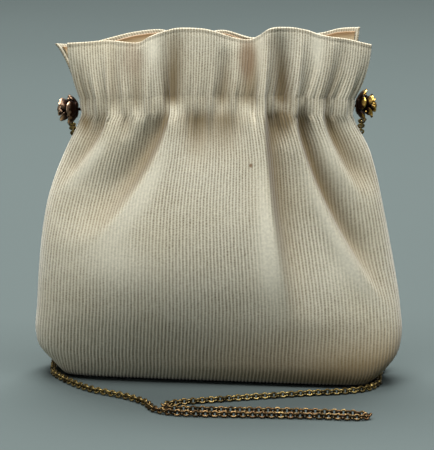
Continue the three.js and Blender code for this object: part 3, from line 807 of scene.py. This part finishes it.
def add_mesh(name, points, quads, triangles, material, attributes=None, uv=None):
    """A smooth mesh object at the origin from points in millimetres, with point attributes and a UV map."""
    mesh = bpy.data.meshes.new(name)
    mesh.from_pydata((points * MM).tolist(), [], quads.tolist() + triangles.tolist())
    for key, values in (attributes or {}).items():
        layer = mesh.attributes.new(key, "FLOAT", "POINT")
        layer.data.foreach_set("value", values.astype(np.float32).ravel())
    if uv is not None:
        corner = np.zeros(len(mesh.loops), np.int32)
        mesh.loops.foreach_get("vertex_index", corner)
        mesh.uv_layers.new(name="cloth").data.foreach_set("uv", uv[corner].astype(np.float32).ravel())
    mesh.shade_smooth()
    mesh.materials.append(material)
    piece = bpy.data.objects.new(name, mesh)
    bpy.context.scene.collection.objects.link(piece)
    return piece


def place_piece(piece, node):
    """Puts a finished piece on the purse in place of a solid."""
    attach(piece, "root")
    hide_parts(node)


def add_node(tree, kind, inputs=(), output=0, **settings):
    """Adds a shader node with its settings, fills its inputs, given by name or in order, with values or with
    links from other nodes' outputs, and gives one of its own outputs if it has any."""
    node = tree.nodes.new(f"ShaderNode{kind}")
    for key, value in settings.items():
        setattr(node, key, value)
    for key, value in inputs.items() if isinstance(inputs, dict) else enumerate(inputs):
        if isinstance(value, bpy.types.NodeSocket):
            tree.links.new(value, node.inputs[key])
        else:
            node.inputs[key].default_value = value
    return node.outputs[output] if node.outputs else None


def new_material(name):
    """An empty node material, and add_node for its tree."""
    material = bpy.data.materials.new(name)
    material.use_nodes = True
    material.node_tree.nodes.clear()
    return material, partial(add_node, material.node_tree)


def cloth_material(settings):
    """Ribbed cotton, woven with thick cords: ivory cords, grooves dotted by the weft and darkened as painted
    shade, a dry matte face with a faint sheen, yellowed patches, painted shade in the folds, grime on the rim
    and brown stains."""
    material, add = new_material("ribbed_ivory_cotton")
    coords = add("TexCoord", output="Object")
    # U counts cords from groove to groove, and V is millimetres along a cord
    uv = add("UVMap", uv_map="cloth")
    across = add("SeparateXYZ", [uv], "X")
    along = add("SeparateXYZ", [uv], "Y")
    uneven = {}
    for change in WEAVE_CHANGES:
        stretched = add("Mapping", {"Vector": uv, "Scale": (1 / change.cords, 1 / change.run, 1.0)})
        noise = add("TexNoise", {"Vector": stretched, "Scale": 1.0, "Detail": 1.0}, noise_dimensions="2D")
        uneven[change.name] = add("MapRange", (noise, *NOISE_RANGE, change.low, change.high))
    wandering = add("Math", (across, uneven["wander"]), operation="ADD")
    from_groove = add("Math", (wandering, 0.5), operation="PINGPONG")
    # Grooves darkened as painted shade of the recess between the cords, dotted by the weft below
    groove = add("MapRange", (from_groove, 0.1, 0.44, 0.88, 0.1))
    cord_number = add("Math", [across], operation="ROUND")
    shifted = add("Math", (cord_number, 0.5, uneven["crowding"]), operation="MULTIPLY_ADD")
    picks = add("Math", (along, MM / settings.weft_pitch, shifted), operation="MULTIPLY_ADD")
    from_pick = add("Math", (picks, 0.5), operation="PINGPONG")
    dot = add("MapRange", (from_pick, 0.08, 0.42, 1.0, 0.58))
    # Rubbed cords, also a painted highlight: they lose the groove colour and the yellowing
    wear = add("Attribute", output="Fac", attribute_name="wear")
    outside_wear_and_highlight = add("Math", (1.0, wear), operation="SUBTRACT")
    shade = groove
    for share in (dot, uneven["slub"], uneven["felting"], outside_wear_and_highlight):
        shade = add("Math", (shade, share), operation="MULTIPLY")
    # Yellowed patches about 45 mm across, cleared along the rubbed bands that also stand for painted
    # highlight, and fibres of 0.7 mm, coarser than real ones so that they show
    patches = add("TexNoise", {"Vector": coords, "Scale": 22.0, "Detail": 3.0})
    fibres = add("TexNoise", {"Vector": coords, "Scale": 1400.0, "Detail": 2.0})
    yellowed = add("MapRange", (patches, 0.4, 0.75, 0.0, 0.4))
    aged = add("Math", (yellowed, outside_wear_and_highlight), operation="MULTIPLY")
    # Painted shade of the folds, hollows, gathers and base, with dust on the rim
    dust = add("Attribute", output="Fac", attribute_name="dust")
    shade_and_dust_share = add("Math", (dust, SHADE_AND_DUST_COVER), operation="MULTIPLY")
    layers = [
        (aged, rgba(settings.ageing), "MIX"),
        (shade, rgba(settings.groove), "MIX"),
        (1.0, uneven["fleck"], "MULTIPLY"),
        (shade_and_dust_share, rgba(settings.dust), "MIX"),
    ]
    for stain in STAINS:
        box = {"Location": np.array(stain.place) * MM, "Scale": np.array(stain.reach) * MM}
        near = add("Mapping", {"Vector": coords, **box}, vector_type="TEXTURE")
        distance = add("VectorMath", [near], "Value", operation="LENGTH")
        fading = (distance, STAIN_CORE, 1.0, stain.strength, 0.0)
        stained = add("MapRange", fading, interpolation_type="SMOOTHSTEP")
        layers.append((stained, rgba(settings.stain), "MIX"))
    cloth = rgba(settings.cord)
    for share, tint, blend in layers:
        colours = {MIX_SHARE: share, MIX_FIRST: cloth, MIX_SECOND: tint}
        cloth = add("Mix", colours, MIX_RESULT, data_type="RGBA", blend_type=blend)
    height = add("Math", (shade, -1.4, fibres), operation="MULTIPLY_ADD")
    bump = add("Bump", {"Height": height, "Strength": 0.55, "Distance": 0.00018})
    shader = add("BsdfPrincipled", {
        "Base Color": cloth, "Roughness": 0.9, "Specular IOR Level": 0.2, "Sheen Weight": 0.25,
        "Sheen Roughness": 0.5, "Normal": bump,
    })
    add("OutputMaterial", {"Surface": shader})
    return material


def facing_material(settings):
    """Cotton sateen, woven and pressed: a plain tan face with a soft gloss, faint horizontal threads and a
    darker upper edge, partly brown and partly painted shade under the cloth's turned hem."""
    material, add = new_material("tan_cotton_sateen")
    coords = add("TexCoord", output="Object")
    # Worn patches of about 17 mm
    patches = add("TexNoise", {"Vector": coords, "Scale": 60.0, "Detail": 3.0})
    # Darker upper band, partly a brown edge and partly painted shade under the cloth's turned hem
    hem = add("Attribute", output="Fac", attribute_name="hem")
    worn = 0.7 * np.array(settings.facing)
    tan = rgba(settings.facing)
    for share, tint in ((patches, worn), (hem, settings.facing_edge_shade)):
        colours = {MIX_SHARE: share, MIX_FIRST: tan, MIX_SECOND: rgba(tint)}
        tan = add("Mix", colours, MIX_RESULT, data_type="RGBA")
    # A wave's scale counts 20 stripes per 2 pi metres, so 400 gives threads of about 0.8 mm
    waves = {"Vector": coords, "Scale": 400.0, "Distortion": 1.5, "Detail": 1.0}
    threads = add("TexWave", waves, "Fac", bands_direction="Z")
    bump = add("Bump", {"Height": threads, "Strength": 0.3, "Distance": 0.0001})
    shader = add("BsdfPrincipled", {"Base Color": tan, "Roughness": 0.6, "Sheen Weight": 0.2, "Normal": bump})
    add("OutputMaterial", {"Surface": shader})
    return material


def rose_material(name, gold, patina):
    """Bronze or gilt brass, cast and worn: bright rubbed lips, brown tarnish in the hollows, and a slightly
    uneven skin."""
    material, add = new_material(name)
    coords = add("TexCoord", output="Object")
    recess = add("Attribute", output="Fac", attribute_name="recess")
    # Blotches of about 2 mm and a casting skin of about 0.8 mm
    blotches = add("TexNoise", {"Vector": coords, "Scale": 450.0, "Detail": 3.0})
    skin = add("TexNoise", {"Vector": coords, "Scale": 1200.0, "Detail": 2.0})
    summed = add("Math", (blotches, 0.7, recess), operation="MULTIPLY_ADD")
    tarnish = add("MapRange", (summed, 0.34, 0.72, 0.0, 1.0))
    colours = {MIX_SHARE: tarnish, MIX_FIRST: rgba(gold), MIX_SECOND: rgba(patina)}
    metal = add("Mix", colours, MIX_RESULT, data_type="RGBA")
    roughness = add("MapRange", (tarnish, 0.0, 1.0, 0.16, 0.45))
    bump = add("Bump", {"Height": skin, "Strength": 0.25, "Distance": 0.0002})
    shader = add("BsdfPrincipled", {
        "Base Color": metal, "Metallic": 1.0, "Roughness": roughness, "Normal": bump,
    })
    add("OutputMaterial", {"Surface": shader})
    return material


def chain_material(settings):
    """Brass wire, drawn and soldered, then tarnished: each link its own shade between rubbed brass and dark
    brown, and redder links in the front runs."""
    material, add = new_material("tarnished_brass_wire")
    coords = add("TexCoord", output="Object")
    tone = add("Attribute", output="Fac", attribute_name="tone")
    redness = add("Attribute", output="Fac", attribute_name="redness")
    # Tarnish in spots of about 1 mm
    spots = add("TexNoise", {"Vector": coords, "Scale": 900.0, "Detail": 2.0})
    summed = add("Math", (spots, 0.8, tone), operation="MULTIPLY_ADD")
    tarnish = add("MapRange", (summed, 0.35, 1.1, 0.1, 1.0))
    metal = rgba(settings.brass)
    for share, tint in ((redness, settings.copper), (tarnish, settings.chain_patina)):
        colours = {MIX_SHARE: share, MIX_FIRST: metal, MIX_SECOND: rgba(tint)}
        metal = add("Mix", colours, MIX_RESULT, data_type="RGBA")
    roughness = add("MapRange", (tarnish, 0.0, 1.0, 0.25, 0.55))
    shader = add("BsdfPrincipled", {"Base Color": metal, "Metallic": 1.0, "Roughness": roughness})
    add("OutputMaterial", {"Surface": shader})
    return material


def floor_material(settings):
    """Matte paper roll: a plain pale face with no gloss and a barely uneven tone."""
    material, add = new_material("matte_paper")
    coords = add("TexCoord", output="Object")
    # Clouds of about 0.3 m
    cloudy = add("TexNoise", {"Vector": coords, "Scale": 3.0, "Detail": 2.0})
    deeper = 0.94 * np.array(settings.floor)
    colours = {MIX_SHARE: cloudy, MIX_FIRST: rgba(settings.floor), MIX_SECOND: rgba(deeper)}
    tone = add("Mix", colours, MIX_RESULT, data_type="RGBA")
    shader = add("BsdfPrincipled", {"Base Color": tone, "Roughness": 1.0, "Specular IOR Level": 0.1})
    add("OutputMaterial", {"Surface": shader})
    return material


def add_pouch_half(half, settings, material):
    """One half of the cloth as a closed sheet. The outer side is the middle surface cut by the grooves
    between the cords, the stitched hem and the side seams; the inner side lies the cloth's thickness within
    it."""
    columns = settings.cords * COLUMNS_PER_CORD + 1
    grid, dust, wear = cloth_grid(half, columns)
    normals = surface_normals(grid)
    wall = settings.wall / MM
    rise = np.linalg.norm(np.diff(grid, axis=0), axis=2)
    climbed = np.concatenate([np.zeros((1, columns)), np.cumsum(rise, axis=0)])
    below_rim = climbed[-1] - climbed
    step = np.linalg.norm(np.diff(grid, axis=1), axis=2).mean(axis=1)[:, None]
    column = np.arange(columns)
    from_seam = np.minimum(column, columns - 1 - column) * step
    sewn = 1 - smoothstep(grid[..., 2], SLIT_START, SLIT_END)
    # Dust on the handled rim, over the painted shade
    dust = np.maximum(dust, RIM_DUST * bell(below_rim / HEM_HEIGHT))
    sunk = np.resize(CORD_PROFILE, columns) * settings.cord_depth / MM * (1 - wear)
    sunk = sunk + SEAM_DIP * sewn * bell(from_seam / SEAM_DIP_WIDTH)
    sunk = sunk + HEM_GROOVE * bell((below_rim - HEM_HEIGHT) / HEM_GROOVE_WIDTH)
    outer = grid - normals * sunk[..., None]
    inner = grid - normals * wall
    inner[:len(BASE_SHARES) + 1, :, 2] = wall
    uv = stacked(column / COLUMNS_PER_CORD, both_sides(climbed)).reshape(-1, 2)
    marks = {"dust": both_sides(dust), "wear": both_sides(wear)}
    quads, triangles = sheet_faces(len(grid), columns)
    points = closed_sheet(outer, inner, RIM_LIFT)
    piece = add_mesh(f"pouch_{half.name}", points, quads, triangles, material, marks, uv)
    place_piece(piece, "pouch")


def add_facing(half, settings, material):
    """Facing of one half as a closed sheet just inside the cloth, from the foot of the casing to short of
    the rim and clear of the side seams. It is the cloth's middle surface, softened across, moved in along
    its normals."""
    columns = settings.cords * COLUMNS_PER_CORD + 1
    grid, _, _ = cloth_grid(half, columns)
    grid = softened(grid, FACING_SOFTNESS)
    normals = surface_normals(grid)
    first = len(BASE_SHARES) + BODY_ROWS
    side = FACING_SIDE_CORDS * COLUMNS_PER_CORD
    part = np.s_[first:-FACING_TOP_ROWS, side:columns - side:FACING_COLUMN_STEP]
    depth = settings.wall / MM + FACING_GAP
    outer = grid[part] - normals[part] * depth
    inner = outer - normals[part] * FACING_WALL
    # Darker upper band along the facing's edge: partly brown, partly painted shade under the turned hem
    below_edge = np.linalg.norm(outer - outer[-1], axis=2)
    hem = both_sides(bell(below_edge / FACING_HEM))
    quads, triangles = sheet_faces(*outer.shape[:2])
    points = closed_sheet(outer, inner, FACING_LIFT)
    piece = add_mesh(f"{half.name}_facing", points, quads, triangles, material, {"hem": hem})
    place_piece(piece, f"{half.name}_lining")


def turned_shape(profile, sides):
    """A profile of radius, height and recess turned round the rose's axis, as points with their recess, and
    faces."""
    radius, height, recess = (np.array(column, float)[:, None] for column in zip(*profile))
    angle = full_turn(sides)
    grid = stacked(radius * np.cos(angle), radius * np.sin(angle), height, recess)
    return ball_points(grid), *ball_faces(len(profile), sides)


def petal_shape(ring, chance):
    """One ring of cupped petals. Each is a flattened ball in polar coordinates, wrapped on a flaring cup
    round the axis: its reach grows early and its height late, its edges curl out and its lip rolls back."""
    turn = np.linspace(0, np.pi, PETAL_ROWS)[:, None]
    angle = full_turn(PETAL_SIDES)
    skin = np.cos(turn) * PETAL_THICKNESS / 2
    along = (1 + np.sin(turn) * np.cos(angle)) / 2
    across = np.sin(turn) * np.sin(angle)
    size = chance.uniform(*PETAL_SIZES, (ring.count, 1, 1))
    sway = chance.uniform(-PETAL_SWAY, PETAL_SWAY, (ring.count, 1, 1))
    azimuth = np.radians(ring.turn + np.arange(ring.count)[:, None, None] * 360 / ring.count + sway)
    lip = PETAL_LIP * smoothstep(along, PETAL_LIP_START, 1) ** 2
    crease = PETAL_CREASE * along * bell(across / PETAL_CREASE_WIDTH)
    flare = (ring.tip - ring.foot) * np.sin(along * np.pi / 2)
    reach = size * (ring.foot + flare + ring.curl * across ** 2 - crease + lip) + skin * along
    height = ring.base + size * (ring.top - ring.base) * along ** PETAL_RISE - skin * (1 - along)
    bearing = azimuth + across * np.radians(ring.half_angle)
    recess = FOOT_RECESS * (1 - along) ** FOOT_FADE + INNER_RECESS * (skin < 0)
    petals = ball_points(stacked(reach * np.cos(bearing), reach * np.sin(bearing), height, recess))
    return copied(petals, *ball_faces(PETAL_ROWS, PETAL_SIDES))


def knob_shape(knob):
    """A ring of small balls: each is a turned half circle moved out from the axis."""
    turn = np.linspace(0, np.pi, KNOB_ROWS)
    profile = stacked(knob.radius * np.sin(turn), -knob.radius * np.cos(turn), KNOB_RECESS)
    ball, *faces = turned_shape(profile, KNOB_SIDES)
    bearing = np.radians(knob.turn + np.arange(knob.count) * 360 / knob.count)
    place = stacked(knob.reach * np.cos(bearing), knob.reach * np.sin(bearing), knob.height, 0.0)
    return copied(ball + place[:, None], *faces)


def eye_shape(hand):
    """The eye that carries the chain: a ring of wire in the plane of the petals, below the axis and behind
    it."""
    around = full_turn(EYE_SIDES)[:, None]
    section = full_turn(EYE_WIRE_SIDES)
    reach = EYE_RADIUS + EYE_WIRE * np.cos(section)
    grid = stacked(
        reach * np.cos(around) + hand * EYE_BACK,
        reach * np.sin(around) - EYE_DROP,
        EYE_HEIGHT + EYE_WIRE * np.sin(section),
        EYE_RECESS,
    )
    return grid.reshape(-1, 4), hoop_faces(EYE_SIDES, EYE_WIRE_SIDES), NO_TRIANGLES


def add_rose(name, hand, level, node, material):
    """A rose as joined shapes about its axis, turned so that the axis points away from the pouch."""
    chance = np.random.default_rng(ROSE_SEED + hand)
    shapes = [turned_shape(ROSE_STEM, STEM_SIDES), eye_shape(hand)]
    shapes += [petal_shape(ring, chance) for ring in PETAL_RINGS]
    shapes += [knob_shape(knob) for knob in KNOBS]
    starts = np.cumsum([0] + [len(points) for points, _, _ in shapes])
    points = np.concatenate([points for points, _, _ in shapes])
    quads = np.concatenate([quads + start for (_, quads, _), start in zip(shapes, starts)])
    triangles = np.concatenate([triangles + start for (_, _, triangles), start in zip(shapes, starts)])
    sideways, up, outward = points[:, 0], points[:, 1], points[:, 2]
    placed = stacked(hand * (ROSE_SEAT_X + outward), hand * sideways, level + up)
    piece = add_mesh(name, placed, quads, triangles, material, {"recess": points[:, 3]})
    place_piece(piece, node)


def add_chain(settings, material):
    """The chain as rings of wire, each circle * (radius + wire * cos) + wire * sin, in a plane that holds the
    chain's direction and turns a quarter from link to link. Lying links lean 45 degrees to both sides."""
    line = smooth_line(CHAIN_ROUTE, CHAIN_STEPS)
    run = np.linalg.norm(np.diff(line, axis=0), axis=1).sum()
    links = 2 * round(run / (settings.pitch / MM) / 2) + 1
    centre = spaced(line[None], np.linspace(0, 1, links))[0]
    ahead = unit(np.gradient(centre, axis=0))
    lying = 1 - smoothstep(centre[:, 2:], LIE_HEIGHT, HANG_HEIGHT)
    lead = np.array([1.0, 0, 0]) * (1 - lying) + np.array([0, 0, 1.0]) * lying
    lead = unit(lead - ahead * np.sum(lead * ahead, axis=1, keepdims=True))
    beside = np.cross(ahead, lead)
    chance = np.random.default_rng(CHAIN_SEED)
    upright = 90 * (np.arange(links) % 2 == 0)
    sway = chance.uniform(-LINK_ROLL, LINK_ROLL, links)
    roll = np.radians(upright - 45 * lying[:, 0] + sway)[:, None]
    broad = np.cos(roll) * beside + np.sin(roll) * lead
    flat = np.cross(ahead, broad)
    around = full_turn(LINK_SIDES)[:, None, None]
    section = full_turn(WIRE_SIDES)[:, None]
    wire = settings.wire / MM / 2
    reach = settings.link / MM / 2 - wire + wire * np.cos(section)
    circle = np.cos(around) * ahead[:, None, None] + np.sin(around) * broad[:, None, None]
    rings = centre[:, None, None] + reach * circle + wire * np.sin(section) * flat[:, None, None]
    points, quads = copied(rings.reshape(links, -1, 3), hoop_faces(LINK_SIDES, WIRE_SIDES))
    redness = smoothstep(-centre[:, 1], RED_FROM, RED_TO) * chance.uniform(*LINK_REDS, links)
    tone = chance.uniform(*LINK_TONES, links)
    each = LINK_SIDES * WIRE_SIDES
    attributes = {"tone": np.repeat(tone, each), "redness": np.repeat(redness, each)}
    piece = add_mesh("chain_links", points, quads, NO_TRIANGLES, material, attributes)
    place_piece(piece, "chain")


def add_aimed(name, data, place, aim):
    """A light or a camera as an object at a place, turned to its aim."""
    thing = bpy.data.objects.new(name, data)
    thing.location = place
    thing.rotation_euler = (Vector(aim) - Vector(place)).to_track_quat("-Z", "Y").to_euler()
    bpy.context.scene.collection.objects.link(thing)
    return thing


def add_light(light, watts):
    """A soft light of the given width and depth, turned to the purse."""
    name = f"{light.name}_light"
    lamp = bpy.data.lights.new(name, "AREA")
    lamp.shape = "RECTANGLE"
    lamp.size, lamp.size_y = light.size
    lamp.energy = watts
    add_aimed(name, lamp, light.place, LIGHT_AIM)


def room_light(settings):
    """Even light all round, which metal mirrors as a brighter room."""
    world = bpy.data.worlds.new("soft_room")
    world.use_nodes = True
    mirrored = add_node(world.node_tree, "LightPath", output="Is Glossy Ray")
    strengths = (mirrored, 0.0, 1.0, settings.ambient, settings.glints)
    strength = add_node(world.node_tree, "MapRange", strengths)
    background = world.node_tree.nodes["Background"].inputs
    background["Color"].default_value = rgba(settings.room)
    world.node_tree.links.new(strength, background["Strength"])
    return world


class PURSE_OT_stage(bpy.types.Operator):
    """Adds the floor, the lights and the camera"""

    bl_idname = "purse.stage"
    bl_label = "Stage"
    bl_options = {"REGISTER", "UNDO"}

    def execute(self, context):
        settings = context.scene.purse_stage
        corners = np.array([[-1, -1, 0], [1, -1, 0], [1, 1, 0], [-1, 1, 0]]) * FLOOR_HALF / MM
        quad = np.array([[0, 1, 2, 3]])
        floor = add_mesh("floor", corners, quad, NO_TRIANGLES, floor_material(settings))
        for light in LIGHTS:
            add_light(light, getattr(settings, f"{light.name}_power"))
        context.scene.world = room_light(settings)
        context.scene.view_settings.view_transform = "Standard"
        lens = bpy.data.cameras.new("camera")
        lens.lens = CAMERA_LENS
        context.scene.camera = add_aimed("camera", lens, CAMERA_PLACE, CAMERA_AIM)
        return {"FINISHED"}


class PURSE_OT_pouch(bpy.types.Operator):
    """Adds the front and the back of the ribbed cloth"""

    bl_idname = "purse.pouch"
    bl_label = "Pouch"
    bl_options = {"REGISTER", "UNDO"}

    def execute(self, context):
        settings = context.scene.purse_cloth
        material = cloth_material(settings)
        for half in (FRONT, BACK):
            add_pouch_half(half, settings, material)
        return {"FINISHED"}


class PURSE_OT_facings(bpy.types.Operator):
    """Adds the tan facings inside the frills"""

    bl_idname = "purse.facings"
    bl_label = "Facings"
    bl_options = {"REGISTER", "UNDO"}

    def execute(self, context):
        settings = context.scene.purse_cloth
        material = facing_material(settings)
        for half in (FRONT, BACK):
            add_facing(half, settings, material)
        return {"FINISHED"}


class PURSE_OT_roses(bpy.types.Operator):
    """Adds the two cast roses"""

    bl_idname = "purse.roses"
    bl_label = "Roses"
    bl_options = {"REGISTER", "UNDO"}

    def execute(self, context):
        settings = context.scene.purse_metal
        bronze = rose_material("worn_bronze_casting", settings.left_rose, settings.rose_patina)
        gilt = rose_material("gilt_brass_casting", settings.right_rose, settings.rose_patina)
        add_rose("left_rose_cast", -1, LEFT_ROSE_Z, "left_rose", bronze)
        add_rose("right_rose_cast", 1, RIGHT_ROSE_Z, "right_rose", gilt)
        return {"FINISHED"}


class PURSE_OT_chain(bpy.types.Operator):
    """Adds the chain strap's links"""

    bl_idname = "purse.chain"
    bl_label = "Chain"
    bl_options = {"REGISTER", "UNDO"}

    def execute(self, context):
        settings = context.scene.purse_metal
        add_chain(settings, chain_material(settings))
        return {"FINISHED"}


OPERATORS = (PURSE_OT_stage, PURSE_OT_pouch, PURSE_OT_facings, PURSE_OT_roses, PURSE_OT_chain)


class PURSE_PT_panel(bpy.types.Panel):
    """Lists the purse's pieces and settings in the sidebar"""

    bl_idname = "PURSE_PT_panel"
    bl_label = "Purse"
    bl_space_type = "VIEW_3D"
    bl_region_type = "UI"
    bl_category = "Purse"

    def draw(self, context):
        for operator in OPERATORS:
            self.layout.operator(operator.bl_idname)
        for group in SETTINGS:
            settings = getattr(context.scene, group)
            box = self.layout.box()
            for key in settings.bl_rna.properties.keys():
                if key not in ("rna_type", "name"):
                    box.prop(settings, key)


SETTINGS = {
    "purse_cloth": PurseClothSettings,
    "purse_metal": PurseMetalSettings,
    "purse_stage": PurseStageSettings,
}
CLASSES = (*SETTINGS.values(), *OPERATORS, PURSE_PT_panel)


def register():
    """Registers the classes and hangs the settings on the scene."""
    for cls in CLASSES:
        bpy.utils.register_class(cls)
    for group, cls in SETTINGS.items():
        setattr(bpy.types.Scene, group, PointerProperty(type=cls))


def unregister():
    """Takes the settings and the classes away again."""
    for group in SETTINGS:
        delattr(bpy.types.Scene, group)
    for cls in reversed(CLASSES):
        bpy.utils.unregister_class(cls)


def main():
    """Makes the purse piece by piece."""
    register()
    bpy.ops.purse.stage()
    bpy.ops.purse.pouch()
    bpy.ops.purse.facings()
    bpy.ops.purse.roses()
    bpy.ops.purse.chain()


if __name__ == "__main__":
    main()
